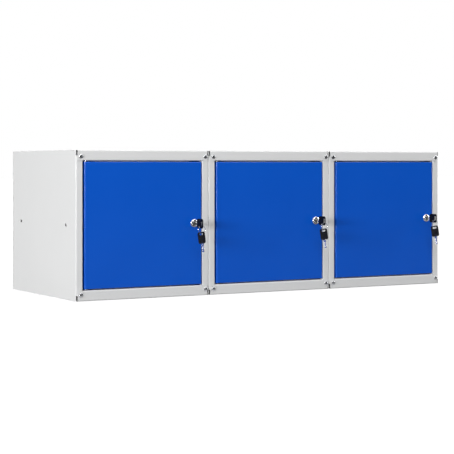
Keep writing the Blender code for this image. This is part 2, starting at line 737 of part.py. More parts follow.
def lock_keys(plug, prefix):
    """The key in the lock, the ring through its slot, and the spare key on the ring."""
    upright = Matrix(((0, 0, 1), (1, 0, 0), (0, 1, 0))).to_euler()
    key_base = LOCK_FACE_HEIGHT + SEAT_GAP + SHOULDER_LENGTH + KEY_OUT
    key = key_piece(plug, f"{prefix}_key", (0, 0, key_base), upright)
    bridge = (-BRIDGE_MIDDLE, SLOT_ALONG, 0)
    level = Matrix(((0, 1, 0), (0, 0, 1), (1, 0, 0))).to_euler()
    ring_pivot = place_pivot(f"{prefix}_ring_pivot", key, bridge, level)
    key_ring(ring_pivot, f"{prefix}_key_ring")
    hang = (0, -RING_DROP - RING_RADIUS, 0)
    turned = (Matrix.Rotation(SPARE_YAW, 3, "Y") @ Matrix.Rotation(SPARE_TILT, 3, "Z")).to_euler()
    spare_pivot = place_pivot(f"{prefix}_spare_pivot", ring_pivot, hang, turned)
    slot_rim = SLOT_ALONG + SLOT_WIDTH / 2
    seat = slot_rim - SPARE_HANG_GAP - RING_WIRE_RADIUS
    key_piece(spare_pivot, f"{prefix}_spare_key", (-SPARE_OFFSET, -seat, 0), (0, 0, 0))


def key_ring(pivot, name):
    """The ring, hanging from the bridge between the slot and the bow's lower edge."""
    bpy.ops.mesh.primitive_torus_add(
        major_radius=RING_RADIUS,
        minor_radius=RING_WIRE_RADIUS,
        major_segments=RING_SEGMENTS,
        minor_segments=WIRE_SEGMENTS,
    )
    ring = bpy.context.object
    ring.name = name
    ring.data.name = name
    ring.data.materials.append(CHROME)
    for owner in list(ring.users_collection):
        owner.objects.unlink(ring)
    PARTS.objects.link(ring)
    ring.parent = pivot
    ring.location = (0, -RING_DROP, 0)
    ring.data.shade_smooth()


# Assembly
def build_cube(number):
    """One locker: carcass, door, lock, keys and corner screws."""
    prefix = f"cube_{number + 1}"
    left = number * (CUBE_WIDTH + CUBE_GAP) - BANK_WIDTH / 2
    cube = place_pivot(prefix, None, (left, -CUBE_DEPTH / 2, 0))
    insets = (SCREW_INSET_LEFT, SCREW_INSET_RIGHT)
    side_panel(cube, f"{prefix}_left_side_panel", SCREW_INSET_LEFT, False)
    side_panel(cube, f"{prefix}_right_side_panel", SCREW_INSET_RIGHT, True)
    rail_panel(cube, f"{prefix}_bottom_panel", insets, False)
    rail_panel(cube, f"{prefix}_top_panel", insets[::-1], True)
    back_panel(cube, f"{prefix}_back_panel")
    corner_screws(cube, prefix)
    hinge_pin(cube, f"{prefix}_lower_hinge_pin", False)
    hinge_pin(cube, f"{prefix}_upper_hinge_pin", True)
    panel = door(cube, f"{prefix}_door")
    lock_body(panel, f"{prefix}_lock_body")
    plug = lock_plug(panel, f"{prefix}_lock_plug")
    lock_cam(plug, f"{prefix}_lock_cam")
    lock_keys(plug, prefix)
    if number < CUBE_COUNT - 1:
        for place_name, share in zip(("front", "rear"), JOIN_HOLE_DEPTH_SHARES):
            joining_bolt(cube, f"{prefix}_joining_bolt_{place_name}", CUBE_DEPTH * share)


for cube_number in range(CUBE_COUNT):
    build_cube(cube_number)
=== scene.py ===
"""The looks of a bank of three steel cube lockers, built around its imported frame."""
import math

import bmesh
import bpy
from mathutils import Matrix, Vector


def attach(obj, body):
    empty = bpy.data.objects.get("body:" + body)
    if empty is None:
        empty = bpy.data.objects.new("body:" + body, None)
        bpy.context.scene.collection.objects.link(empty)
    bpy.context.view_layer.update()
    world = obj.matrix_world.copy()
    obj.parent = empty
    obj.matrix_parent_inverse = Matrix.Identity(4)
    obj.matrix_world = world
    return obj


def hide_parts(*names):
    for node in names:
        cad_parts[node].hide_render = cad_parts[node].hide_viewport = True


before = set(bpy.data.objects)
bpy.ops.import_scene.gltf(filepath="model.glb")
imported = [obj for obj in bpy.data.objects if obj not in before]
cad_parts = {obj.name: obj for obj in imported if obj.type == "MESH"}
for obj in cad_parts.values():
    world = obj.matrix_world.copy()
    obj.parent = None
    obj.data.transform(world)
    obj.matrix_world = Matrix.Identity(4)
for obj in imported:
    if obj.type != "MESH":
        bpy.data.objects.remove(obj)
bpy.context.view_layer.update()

# Sizes of the CAD model, in metres. Each cube's own frame has x from its left side, y from its
# front and z from its base. The side holes are drawn at the size that the photograph shows.
CUBES = 3
WIDTH, DEPTH, HEIGHT = 0.400, 0.450, 0.400
PITCH = 0.4005
LEFT, FRONT = -0.6005, -0.225
SHEET = 0.001
SEAT_GAP = 0.0003
FOLD_RADIUS = 0.003
RELIEF_WIDTH = 0.001
STILE_WIDTH = 0.020
STILE_END = 0.005
SLIT_HEIGHT = 0.014
BACK_FLANGE = 0.015
JOIN_HOLE_RADIUS = 0.0045
JOIN_HOLE_SHARES = (0.15, 0.86)
RAIL_HEIGHT = 0.028
STOP_LIP = 0.008
STOP_NOTCH = 0.030
SIDE_FLANGE = 0.027
FLANGE_RELIEF = 0.022
SCREW_INSET_LEFT = 0.0145
SCREW_INSET_RIGHT = 0.0105
SCREW_INSET_Z = 0.0165
SCREW_HOLE_RADIUS = 0.0033
DOOR_SETBACK = 0.0005
DOOR_DEPTH = 0.015
DOOR_LIP = 0.012
DOOR_FOLD_RADIUS = 0.0025
DOOR_LEFT = 0.0250416
DOOR_RIGHT = 0.3775
DOOR_BOTTOM = 0.031
HINGE_X = 0.0330416
HINGE_Y = 0.0095
PIN_HOLE_RADIUS = 0.0028
LOCK_X = 0.354
LOCK_FLAT = 0.008
LOCK_BARREL_RADIUS = 0.0095
LOCK_BARREL_LENGTH = 0.0168
CAM_FRONT = 0.0174
CAM_LENGTH = 0.036
STILE_LIP_END = 0.0171
STOP_FRONT = 0.0165

STILE_FRONT = SHEET + SEAT_GAP
BACK_FRONT = DEPTH - SHEET - SEAT_GAP
FOLD_CLEAR = FOLD_RADIUS + SEAT_GAP
FLANGE_X = SHEET + SEAT_GAP
RAIL_END = FLANGE_X + FOLD_CLEAR
STILE_START = RAIL_END + SHEET
STOP_TOP = RAIL_HEIGHT + STOP_LIP

# Values of the modelling: points nearer than MERGE are one, a rounded corner takes up to
# ROUND_REACH of each side, and the tools that cut a hole through a sheet stand out by the overruns
MERGE = 0.00001
FOLD_SEGMENTS = 6
ROUND_REACH = 0.45
OVERRUN_OUT, OVERRUN_IN = 0.002, 0.003


# Meshes
def ring_points(radius, count, centre=(0, 0), start=0.0, turn=2 * math.pi, closed=True):
    """Points on a circle, or on an open arc of it, anticlockwise."""
    steps = count if closed else count - 1
    return [
        (
            centre[0] + radius * math.cos(start + turn * step / steps),
            centre[1] + radius * math.sin(start + turn * step / steps),
        )
        for step in range(count)
    ]


def rounded_rectangle(low, high, radius, steps=8):
    points = []
    centres = (
        (high[0] - radius, high[1] - radius),
        (low[0] + radius, high[1] - radius),
        (low[0] + radius, low[1] + radius),
        (high[0] - radius, low[1] + radius),
    )
    for corner, centre in enumerate(centres):
        points += ring_points(radius, steps, centre, corner * math.pi / 2, math.pi / 2, False)
    return points


def box(low, high):
    shape = bmesh.new()
    bmesh.ops.create_cube(shape, size=1.0)
    low = Vector(low)
    high = Vector(high)
    bmesh.ops.scale(shape, vec=high - low, verts=shape.verts)
    bmesh.ops.translate(shape, vec=(low + high) / 2, verts=shape.verts)
    return shape


def rod(start, end, radius, segments=48):
    start = Vector(start)
    end = Vector(end)
    turn = (end - start).to_track_quat("Z", "Y").to_matrix().to_4x4()
    shape = bmesh.new()
    bmesh.ops.create_cone(
        shape, cap_ends=True, segments=segments, radius1=radius, radius2=radius,
        depth=(end - start).length, matrix=Matrix.Translation((start + end) / 2) @ turn,
    )
    return shape


def prism(outline, low, high):
    """A solid with a flat outline in x and y, from one height to another."""
    shape = bmesh.new()
    corners = [shape.verts.new((x, y, low)) for x, y in outline]
    base = shape.faces.new(corners)
    made = bmesh.ops.extrude_face_region(shape, geom=[base])
    moved = [item for item in made["geom"] if isinstance(item, bmesh.types.BMVert)]
    bmesh.ops.translate(shape, verts=moved, vec=(0, 0, high - low))
    bmesh.ops.recalc_face_normals(shape, faces=shape.faces)
    return shape


def turned(profile, steps=64):
    """A piece turned about Z, from (radius, height) points down its outside."""
    shape = bmesh.new()
    corners = [shape.verts.new((radius, 0, height)) for radius, height in profile]
    edges = [shape.edges.new(pair) for pair in zip(corners, corners[1:])]
    bmesh.ops.spin(
        shape, geom=corners + edges, cent=(0, 0, 0), axis=(0, 0, 1),
        angle=2 * math.pi, steps=steps, use_merge=True,
    )
    bmesh.ops.remove_doubles(shape, verts=shape.verts, dist=MERGE / 5)
    bmesh.ops.recalc_face_normals(shape, faces=shape.faces)
    return shape


def rounded_profile(points, radius, steps=4):
    """Rounds every inner corner of an open line of (radius, height) points."""
    made = [points[0]]
    for before, corner, after in zip(points, points[1:], points[2:]):
        corner = Vector(corner)
        towards = [Vector(place) - corner for place in (before, after)]
        reach = min([radius] + [arm.length * ROUND_REACH for arm in towards])
        first, last = [corner + arm.normalized() * reach for arm in towards]
        for step in range(steps + 1):
            share = step / steps
            point = first.lerp(corner, share).lerp(corner.lerp(last, share), share)
            made.append(tuple(point))
    made.append(points[-1])
    return made


# Folded sheets: an open skin is drawn, cut and folded, and then gets its thickness
def fold_up(shape, edges, offset):
    made = bmesh.ops.extrude_edge_only(shape, edges=edges)
    moved = [item for item in made["geom"] if isinstance(item, bmesh.types.BMVert)]
    bmesh.ops.translate(shape, verts=moved, vec=offset)


def folded(points, run):
    shape = bmesh.new()
    corners = [shape.verts.new(point) for point in points]
    edges = [shape.edges.new(pair) for pair in zip(corners, corners[1:])]
    fold_up(shape, edges, run)
    return shape


def slice_skin(shape, axis, value):
    normal = Vector((axis == 0, axis == 1, axis == 2))
    skin = shape.verts[:] + shape.edges[:] + shape.faces[:]
    bmesh.ops.bisect_plane(shape, geom=skin, dist=MERGE, plane_co=normal * value, plane_no=normal)


def notch(shape, first, second):
    """Removes the part of a folded skin that lies between two opposite corners."""
    low = [min(pair) for pair in zip(first, second)]
    high = [max(pair) for pair in zip(first, second)]
    for axis in range(3):
        for value in (low[axis], high[axis]):
            slice_skin(shape, axis, value)
    inside = [
        face for face in shape.faces
        if all(
            low[axis] - MERGE < face.calc_center_median()[axis] < high[axis] + MERGE
            for axis in range(3)
        )
    ]
    bmesh.ops.delete(shape, geom=inside, context="FACES")


def merge_flats(shape):
    bmesh.ops.dissolve_limit(
        shape, angle_limit=math.radians(1), verts=shape.verts[:], edges=shape.edges[:]
    )


# Pieces: each is made once, for the first cube, and copied to the others
MASTERS = {}


def object_from(shape, name, matrix=None):
    """A mesh object in the cube's frame."""
    if matrix is not None:
        shape.transform(matrix)
    data = bpy.data.meshes.new(name)
    shape.to_mesh(data)
    shape.free()
    made = bpy.data.objects.new(name, data)
    bpy.context.scene.collection.objects.link(made)
    return made


def cut(piece, shape, operation="DIFFERENCE", matrix=None):
    """Cuts a shape out of a piece, or joins or intersects it, when the piece is baked."""
    tool = object_from(shape, piece.name + "_tool", matrix)
    boolean = piece.modifiers.new("cut", "BOOLEAN")
    boolean.operation = operation
    boolean.solver = "EXACT"
    boolean.object = tool


def bevel(piece, width, segments, angle=35):
    made = piece.modifiers.new("bevel", "BEVEL")
    made.width = width
    made.segments = segments
    made.limit_method = "ANGLE"
    made.angle_limit = math.radians(angle)
    made.use_clamp_overlap = True
    made.harden_normals = False


def thicken(piece):
    """Gives a skin its thickness, on the inside of the folds."""
    solidify = piece.modifiers.new("thickness", "SOLIDIFY")
    solidify.thickness = SHEET
    solidify.offset = -1.0
    solidify.use_even_offset = True


def bake(piece, sharp=40):
    """Applies a piece's modifiers, with flat faces shaded flat and curved ones smooth."""
    bpy.context.view_layer.update()
    graph = bpy.context.evaluated_depsgraph_get()
    data = bpy.data.meshes.new_from_object(piece.evaluated_get(graph))
    tools = [m.object for m in piece.modifiers if m.type == "BOOLEAN"]
    piece.modifiers.clear()
    piece.data = data
    for tool in tools:
        bpy.data.objects.remove(tool, do_unlink=True)
    data.shade_smooth()
    data.set_sharp_from_angle(angle=math.radians(sharp))
    weighted = piece.modifiers.new("weighted", "WEIGHTED_NORMAL")
    weighted.keep_sharp = True
    bpy.context.view_layer.update()
    graph = bpy.context.evaluated_depsgraph_get()
    piece.data = bpy.data.meshes.new_from_object(piece.evaluated_get(graph))
    piece.data.name = piece.name
    piece.modifiers.clear()
    return piece


def master(piece, name, body, material, slot, replaces=(), sharp=40):
    """Keeps one cube's piece with what it rides on and stands for, to be copied later."""
    bake(piece, sharp)
    piece.data.materials.clear()
    piece.data.materials.append(material)
    MASTERS[name] = (piece.data, body, slot, replaces)
    bpy.data.objects.remove(piece, do_unlink=True)


def place_masters():
    """Puts every piece into each cube, on its own body and in place of its own nodes."""
    for number in range(1, CUBES + 1):
        for name, (data, body, slot, replaces) in MASTERS.items():
            if name.startswith("joining") and number == CUBES:
                continue
            made = bpy.data.objects.new(f"look_{number}_{name}", data)
            bpy.context.scene.collection.objects.link(made)
            made.location = (LEFT + PITCH * (number - 1), FRONT, 0)
            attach(made, body if body == "carcass" else f"cube_{number}_{body}")
            if replaces:
                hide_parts(*[f"cube_{number}_{node}" for node in replaces])


# Materials
DRIFT_SCALE, GLOSS_SCALE, PEEL_SCALE = 6.0, 25.0, 420.0
DRIFT_RANGE, GLOSS_RANGE = (0.15, 0.85), (0.1, 0.9)
GLOSS_BELOW, GLOSS_ABOVE = 0.02, 0.03
PEEL_DEPTH, PEEL_STRENGTH = 0.0002, 0.05
POLISH_DEPTH, POLISH_STRENGTH = 0.0001, 0.06
MOTTLE_SCALE, SHEEN_SCALE, GRAIN_SCALE = 180.0, 400.0, 2600.0
GRAIN_DEPTH, GRAIN_STRENGTH = 0.0001, 0.25


def material(name, colour, metallic, roughness, specular=0.5):
    made = bpy.data.materials.new(name)
    made.use_nodes = True
    shader = made.node_tree.nodes["Principled BSDF"]
    shader.inputs["Base Color"].default_value = (*colour, 1)
    shader.inputs["Metallic"].default_value = metallic
    shader.inputs["Roughness"].default_value = roughness
    shader.inputs["Specular IOR Level"].default_value = specular
    return made


class Nodes:
    """Adds texture nodes to one material."""

    def __init__(self, material):
        self.tree = material.node_tree
        self.shader = self.tree.nodes["Principled BSDF"]
        self.place = self.add("ShaderNodeTexCoord").outputs["Object"]

    def add(self, kind):
        return self.tree.nodes.new(kind)

    def link(self, start, end):
        self.tree.links.new(start, end)

    def stretch(self, scale):
        mapping = self.add("ShaderNodeMapping")
        mapping.inputs["Scale"].default_value = scale
        self.link(self.place, mapping.inputs["Vector"])
        return mapping.outputs["Vector"]

    def noise(self, scale, detail=3.0, rough=0.5, place=None):
        node = self.add("ShaderNodeTexNoise")
        node.inputs["Scale"].default_value = scale
        node.inputs["Detail"].default_value = detail
        node.inputs["Roughness"].default_value = rough
        self.link(place or self.place, node.inputs["Vector"])
        return node.outputs["Fac"]

    def spread(self, factor, low, high, start=0.3, end=0.7):
        """Maps a texture's values to a range."""
        node = self.add("ShaderNodeMapRange")
        for name, value in (
            ("From Min", start), ("From Max", end), ("To Min", low), ("To Max", high)
        ):
            node.inputs[name].default_value = value
        self.link(factor, node.inputs["Value"])
        return node.outputs["Result"]

    def colours(self, factor, first, second):
        """Mixes two colours by a factor."""
        node = self.add("ShaderNodeMix")
        node.data_type = "RGBA"
        self.link(factor, node.inputs["Factor"])
        sockets = [socket for socket in node.inputs if socket.type == "RGBA"]
        for socket, value in zip(sockets, (first, second)):
            socket.default_value = (*value, 1)
        output = next(socket for socket in node.outputs if socket.type == "RGBA")
        self.link(output, self.shader.inputs["Base Color"])

    def bump(self, height, strength, distance):
        node = self.add("ShaderNodeBump")
        node.inputs["Strength"].default_value = strength
        node.inputs["Distance"].default_value = distance
        self.link(height, node.inputs["Height"])
        self.link(node.outputs["Normal"], self.shader.inputs["Normal"])


def powder_coat(name, light, dark, roughness, specular):
    """Paint baked on as powder: a fine orange peel, and slight drifts of colour and gloss."""
    made = material(name, light, 0.0, roughness, specular)
    nodes = Nodes(made)
    drift = nodes.spread(nodes.noise(DRIFT_SCALE, 2.0), 0, 1, *DRIFT_RANGE)
    nodes.colours(drift, dark, light)
    gloss = nodes.noise(GLOSS_SCALE, 1.0)
    low, high = roughness - GLOSS_BELOW, roughness + GLOSS_ABOVE
    uneven = nodes.spread(gloss, low, high, *GLOSS_RANGE)
    nodes.link(uneven, nodes.shader.inputs["Roughness"])
    nodes.bump(nodes.noise(PEEL_SCALE, 2.0, 0.45), PEEL_STRENGTH, PEEL_DEPTH)
    return made


def plated(name, light, dark, low, high, scale, stretch=(1, 1, 1)):
    """Plated or bare metal, with uneven polish."""
    made = material(name, light, 1.0, (low + high) / 2)
    nodes = Nodes(made)
    grain = nodes.noise(scale, 4.0, 0.6, nodes.stretch(stretch))
    nodes.colours(nodes.spread(grain, 0, 1), dark, light)
    nodes.link(nodes.spread(grain, low, high), nodes.shader.inputs["Roughness"])
    nodes.bump(grain, POLISH_STRENGTH, POLISH_DEPTH)
    return made


def moulded(name, light, dark, low, high):
    """Black plastic with a fine moulded grain."""
    made = material(name, light, 0.0, (low + high) / 2, 0.10)
    nodes = Nodes(made)
    nodes.colours(nodes.spread(nodes.noise(MOTTLE_SCALE), 0, 1), dark, light)
    sheen = nodes.spread(nodes.noise(SHEEN_SCALE), low, high)
    nodes.link(sheen, nodes.shader.inputs["Roughness"])
    nodes.bump(nodes.noise(GRAIN_SCALE, 2.0), GRAIN_STRENGTH, GRAIN_DEPTH)
    return made


GREY = powder_coat("grey_powder_coat", (0.790, 0.795, 0.795), (0.770, 0.775, 0.777), 0.22, 0.5)
BLUE = powder_coat("blue_powder_coat", (0.0030, 0.104, 0.630), (0.0020, 0.096, 0.600), 0.20, 0.45)
CHROME = plated("bright_chrome", (0.76, 0.77, 0.79), (0.70, 0.71, 0.74), 0.05, 0.13, 420.0)
ZINC = plated("zinc_plate", (0.64, 0.65, 0.67), (0.54, 0.55, 0.57), 0.08, 0.18, 650.0)
STEEL = plated(
    "milled_steel", (0.58, 0.58, 0.59), (0.50, 0.50, 0.51), 0.08, 0.20, 900.0, (1, 1, 0.08)
)
PLASTIC = moulded("black_moulding", (0.007, 0.007, 0.008), (0.004, 0.004, 0.005), 0.22, 0.34)


# Carcass
LINE_RADIUS, LINE_DEPTH, LINE_MARGIN = 0.005, 0.00012, 0.010
BACK_EDGE = 0.0003
WELD_INSET, WELD_DEPTH = 0.008, 0.00025
WELD_SPACES = 4
WELD_MARK = [(0, 0.0014), (0.0028, 0.0014), (0.0026, 0.0003), (0.0018, 0), (0, 0)]


def sheet_panel(shape, name, flipped, holes):
    """Rounds and thickens a skin, cuts its holes, and turns the flipped one end for end."""
    merge_flats(shape)
    piece = object_from(shape, name)
    bevel(piece, FOLD_RADIUS, FOLD_SEGMENTS)
    thicken(piece)
    for start, end, radius in holes:
        cut(piece, rod(start, end, radius))
    bake(piece)
    if flipped:
        turn = Matrix.Translation((WIDTH, 0, HEIGHT)) @ Matrix.Rotation(math.pi, 4, "Y")
        piece.data.transform(turn)
    master(piece, name, "carcass", GREY, "grey_paint", (name,))


def side_panel(name, screw_inset, flipped):
    """A side sheet with its front stile, the stile's lip and the back flange."""
    profile = (
        (STILE_WIDTH, STILE_LIP_END, 0),
        (STILE_WIDTH, STILE_FRONT, 0),
        (0, STILE_FRONT, 0),
        (0, BACK_FRONT, 0),
        (BACK_FLANGE, BACK_FRONT, 0),
    )
    shape = folded(profile, (0, 0, HEIGHT))
    for end, inward in ((0, 1), (HEIGHT, -1)):
        trim_stile_end(shape, end, inward)
    holes = [
        ((screw_inset, 0, z), (screw_inset, STILE_FRONT + OVERRUN_IN, z), SCREW_HOLE_RADIUS)
        for z in (SCREW_INSET_Z, HEIGHT - SCREW_INSET_Z)
    ]
    for share in JOIN_HOLE_SHARES:
        y = DEPTH * share
        start, end = (-OVERRUN_OUT, y, HEIGHT / 2), (OVERRUN_IN, y, HEIGHT / 2)
        holes.append((start, end, JOIN_HOLE_RADIUS))
    holes += flange_lines()
    sheet_panel(shape, name, flipped, holes)


def flange_lines():
    """Shallow hollows where the edges of the rail panels' side flanges show through the sheet."""
    x = LINE_DEPTH - LINE_RADIUS
    start, end = FLANGE_RELIEF + LINE_MARGIN, DEPTH - FLANGE_RELIEF - LINE_MARGIN
    return [
        ((x, start, z), (x, end, z), LINE_RADIUS) for z in (SIDE_FLANGE, HEIGHT - SIDE_FLANGE)
    ]


def trim_stile_end(shape, end, inward):
    """Cuts the slit, the relief and the lip at one end of a side sheet's stile."""
    slit_end = end + inward * SLIT_HEIGHT
    relief = slit_end - inward * RELIEF_WIDTH
    stile_end = end + inward * STILE_END
    lip_end = end + inward * (RAIL_HEIGHT + SEAT_GAP)
    lip_relief = STILE_WIDTH - FOLD_CLEAR
    notch(shape, (0, STILE_FRONT, end), (STILE_START, STILE_FRONT, slit_end))
    notch(shape, (0, STILE_FRONT, relief), (0, STILE_FRONT + FOLD_CLEAR, slit_end))
    notch(shape, (0, STILE_FRONT, end), (STILE_WIDTH, STILE_FRONT, stile_end))
    notch(shape, (lip_relief, STILE_FRONT, end), (STILE_WIDTH, STILE_LIP_END, lip_end))


def rail_panel(name, screw_insets, flipped):
    """A top or bottom sheet with its rail, lip, door stop, back flange and side flanges."""
    profile = (
        (FLANGE_X, BACK_FRONT, BACK_FLANGE),
        (FLANGE_X, BACK_FRONT, 0),
        (FLANGE_X, 0, 0),
        (FLANGE_X, 0, RAIL_HEIGHT),
        (FLANGE_X, STOP_FRONT, RAIL_HEIGHT),
        (FLANGE_X, STOP_FRONT, STOP_TOP),
    )
    shape = folded(profile, (WIDTH - 2 * FLANGE_X, 0, 0))
    for end, inward in ((0, 1), (WIDTH, -1)):
        trim_rail_end(shape, end, inward)
        fold_side_flange(shape, end + inward * FLANGE_X)
    holes = [
        ((x, -OVERRUN_OUT, SCREW_INSET_Z), (x, OVERRUN_IN, SCREW_INSET_Z), SCREW_HOLE_RADIUS)
        for x in (screw_insets[0], WIDTH - screw_insets[1])
    ]
    x = WIDTH - HINGE_X if flipped else HINGE_X
    start = (x, HINGE_Y, RAIL_HEIGHT - OVERRUN_IN)
    end = (x, HINGE_Y, RAIL_HEIGHT + OVERRUN_OUT)
    holes.append((start, end, PIN_HOLE_RADIUS))
    sheet_panel(shape, name, flipped, holes)


def trim_rail_end(shape, end, inward):
    """Cuts the corners and the bend reliefs at one end of a rail panel."""
    rail_end = end + inward * RAIL_END
    lip_start = end + inward * (STILE_WIDTH + SEAT_GAP)
    stop_start = end + inward * (DOOR_LEFT + STOP_NOTCH)
    flange_start = end + inward * (BACK_FLANGE + SEAT_GAP)
    lip_bend = (0, RAIL_HEIGHT - FOLD_CLEAR), (0, RAIL_HEIGHT)
    stop_bend = (STOP_FRONT - FOLD_CLEAR, RAIL_HEIGHT), (STOP_FRONT, RAIL_HEIGHT)
    notch(shape, (end, 0, 0), (rail_end, FLANGE_RELIEF, STOP_TOP))
    notch(shape, (end, DEPTH - FLANGE_RELIEF, 0), (rail_end, BACK_FRONT, BACK_FLANGE))
    notch(shape, (end, 0, RAIL_HEIGHT), (lip_start, STOP_FRONT, STOP_TOP))
    cut_relief(shape, lip_start, inward, *lip_bend)
    notch(shape, (end, STOP_FRONT, RAIL_HEIGHT), (stop_start, STOP_FRONT, STOP_TOP))
    cut_relief(shape, stop_start, inward, *stop_bend)
    notch(shape, (end, BACK_FRONT - FOLD_CLEAR, 0), (flange_start, BACK_FRONT, BACK_FLANGE))


def cut_relief(shape, at, inward, first, second):
    notch(shape, (at - inward * RELIEF_WIDTH, *first), (at, *second))


def fold_side_flange(shape, at):
    border = [
        edge for edge in shape.edges
        if edge.is_boundary and all(abs(vert.co.x - at) < MERGE for vert in edge.verts)
    ]
    fold_up(shape, border, (0, 0, SIDE_FLANGE))


def back_panel():
    """A flat sheet, with the shallow marks of the spot welds that hold it."""
    piece = object_from(box((0, DEPTH - SHEET, 0), (WIDTH, DEPTH, HEIGHT)), "back_panel")
    bevel(piece, BACK_EDGE, 2)
    outward = Matrix.Rotation(-math.pi / 2, 4, "X")
    for x, z in weld_places():
        place = Matrix.Translation((x, DEPTH - WELD_DEPTH, z)) @ outward
        cut(piece, turned(WELD_MARK, 20), matrix=place)
    master(piece, "back_panel", "carcass", GREY, "grey_paint", ("back_panel",), 25)


def weld_places():
    """Places of the spot welds along the four edges of the back sheet, as x and z."""
    spacing = (WIDTH - 2 * WELD_INSET) / WELD_SPACES
    along = [WELD_INSET + spacing * step for step in range(WELD_SPACES + 1)]
    edge = [(x, z) for x in along for z in (WELD_INSET, HEIGHT - WELD_INSET)]
    edge += [(x, z) for x in (WELD_INSET, WIDTH - WELD_INSET) for z in along[1:-1]]
    return edge


# Screws, pins and bolts: their profiles are (radius, height) points down the outside, and a
# recess has its reach, its half width, its floor and the top of its cutter
HEAD_RADIUS, HEAD_HEIGHT = 0.006, 0.0028
HEAD_FULLNESS, HEAD_STEPS = 0.8, 12
SCREW_SHANK = [
    (HEAD_RADIUS, SEAT_GAP + 0.0004), (0.0058, SEAT_GAP), (0.003, SEAT_GAP), (0.003, -0.0084),
    (0.0024, -0.009), (0, -0.009),
]
SCREW_RECESS = (0.0034, 0.00075, 0.0008, 0.005)
SCREW_RECESS_TURN = 0.5
SCREW_PIT = [(0, 0.0040), (0.0021, 0.0040), (0.0014, 0.0004), (0, 0.0002)]
PIN_PROFILE = [
    (0, 0.011), (0.0020, 0.011), (0.0025, 0.0104), (0.0025, 0.0027), (0.0045, 0.0027),
    (0.0045, 0.0003), (0.0025, 0.0003), (0.0025, -0.0013), (0.0038, -0.0013), (0.0034, -0.0025),
    (0.0018, -0.0028), (0, -0.0028),
]
EDGE_ROUND = 0.0003
BOLT_RADIUS, BOLT_ROOT = 0.003, 0.0026
BOLT_TIP = [(0, 0.0088), (0.0024, 0.0088), (0.0027, 0.0086)]
BOLT_SHANK = [(BOLT_RADIUS, 0.0062), (BOLT_RADIUS, -0.003), (0, -0.003)]
BOLT_THREAD_TOP, BOLT_THREAD_STEP, BOLT_THREAD_STEPS = 0.0084, 0.0002, 9
BOLT_HEXAGON, BOLT_CHAMFER = 0.0058, 0.0008
BOLT_HEAD, BOLT_NUT = (-0.0053, -0.0013), (0.0018, 0.0068)
HEXAGON_INNER, HEXAGON_OUTER = 0.98, 1.02


def front_matrix(x, z, y=0.0):
    """A frame on the front: x to the right, y up and z out of the front."""
    return Matrix.Translation((x, y, z)) @ Matrix.Rotation(math.pi / 2, 4, "X")


def thread_points(crest, root, top, step, count):
    """The zigzag of a thread, from its top down."""
    return [(crest if number % 2 else root, top - step * number) for number in range(count)]


def cross_recess(piece, place, recess, start=0.0):
    """Cuts two crossed slots into the end of a screw."""
    reach, half, low, high = recess
    outline = [(-reach, -half), (reach, -half), (reach, half), (-reach, half)]
    for turn in (0, math.pi / 2):
        slot = prism(outline, low, high)
        cut(piece, slot, matrix=place @ Matrix.Rotation(turn + start, 4, "Z"))


def add_hexagon(piece, place, radius, heights, chamfer):
    """Joins a hexagon head or nut to a piece, its corners turned off at both ends."""
    low, high = heights
    inner = radius * math.cos(math.pi / 6) * HEXAGON_INNER
    outer = radius * HEXAGON_OUTER
    ends = [
        (0, high), (inner, high), (outer, high - chamfer), (outer, low + chamfer), (inner, low),
        (0, low),
    ]
    block = object_from(prism(ring_points(radius, 6), low, high), "hexagon", place)
    cut(block, turned(ends, 48), "INTERSECT", place)
    bake(block)
    shape = bmesh.new()
    shape.from_mesh(block.data)
    bpy.data.objects.remove(block, do_unlink=True)
    cut(piece, shape, "UNION")


def corner_screw(name, x, z):
    """A domed screw with a cross recess."""
    dome = []
    for step in range(HEAD_STEPS):
        angle = math.pi / 2 * step / HEAD_STEPS
        height = SEAT_GAP + HEAD_HEIGHT * math.cos(angle) ** HEAD_FULLNESS
        dome.append((HEAD_RADIUS * math.sin(angle), height))
    spot = front_matrix(x, z)
    piece = object_from(turned(dome + SCREW_SHANK, 48), name, spot)
    cross_recess(piece, spot, SCREW_RECESS, SCREW_RECESS_TURN)
    cut(piece, turned(SCREW_PIT, 16), matrix=spot)
    master(piece, name, "carcass", ZINC, "zinc_steel", (name,), 35)


def corner_screws():
    for side, x in (("left", SCREW_INSET_LEFT), ("right", WIDTH - SCREW_INSET_RIGHT)):
        for end, z in (("upper", HEIGHT - SCREW_INSET_Z), ("lower", SCREW_INSET_Z)):
            corner_screw(f"screw_{end}_{side}", x, z)


def hinge_pin(name, flipped):
    """A shouldered pin riveted into a rail's lip, with its collar under the door."""
    z = HEIGHT - RAIL_HEIGHT if flipped else RAIL_HEIGHT
    turn = Matrix.Rotation(math.pi if flipped else 0, 4, "X")
    spot = Matrix.Translation((HINGE_X, HINGE_Y, z)) @ turn
    piece = object_from(turned(rounded_profile(PIN_PROFILE, EDGE_ROUND, 3), 40), name, spot)
    master(piece, name, "carcass", ZINC, "zinc_steel", (name,), 30)


def joining_bolt(name, at):
    """A bolt through two neighbours' sides: head in this cube, nut and thread in the next."""
    spot = Matrix.Translation((WIDTH, at, HEIGHT / 2)) @ Matrix.Rotation(math.pi / 2, 4, "Y")
    thread = thread_points(
        BOLT_RADIUS, BOLT_ROOT, BOLT_THREAD_TOP, BOLT_THREAD_STEP, BOLT_THREAD_STEPS
    )
    piece = object_from(turned(BOLT_TIP + thread + BOLT_SHANK, 32), name, spot)
    for heights in (BOLT_HEAD, BOLT_NUT):
        add_hexagon(piece, spot, BOLT_HEXAGON, heights, BOLT_CHAMFER)
    master(piece, name, "carcass", ZINC, "zinc_steel", (name,), 30)


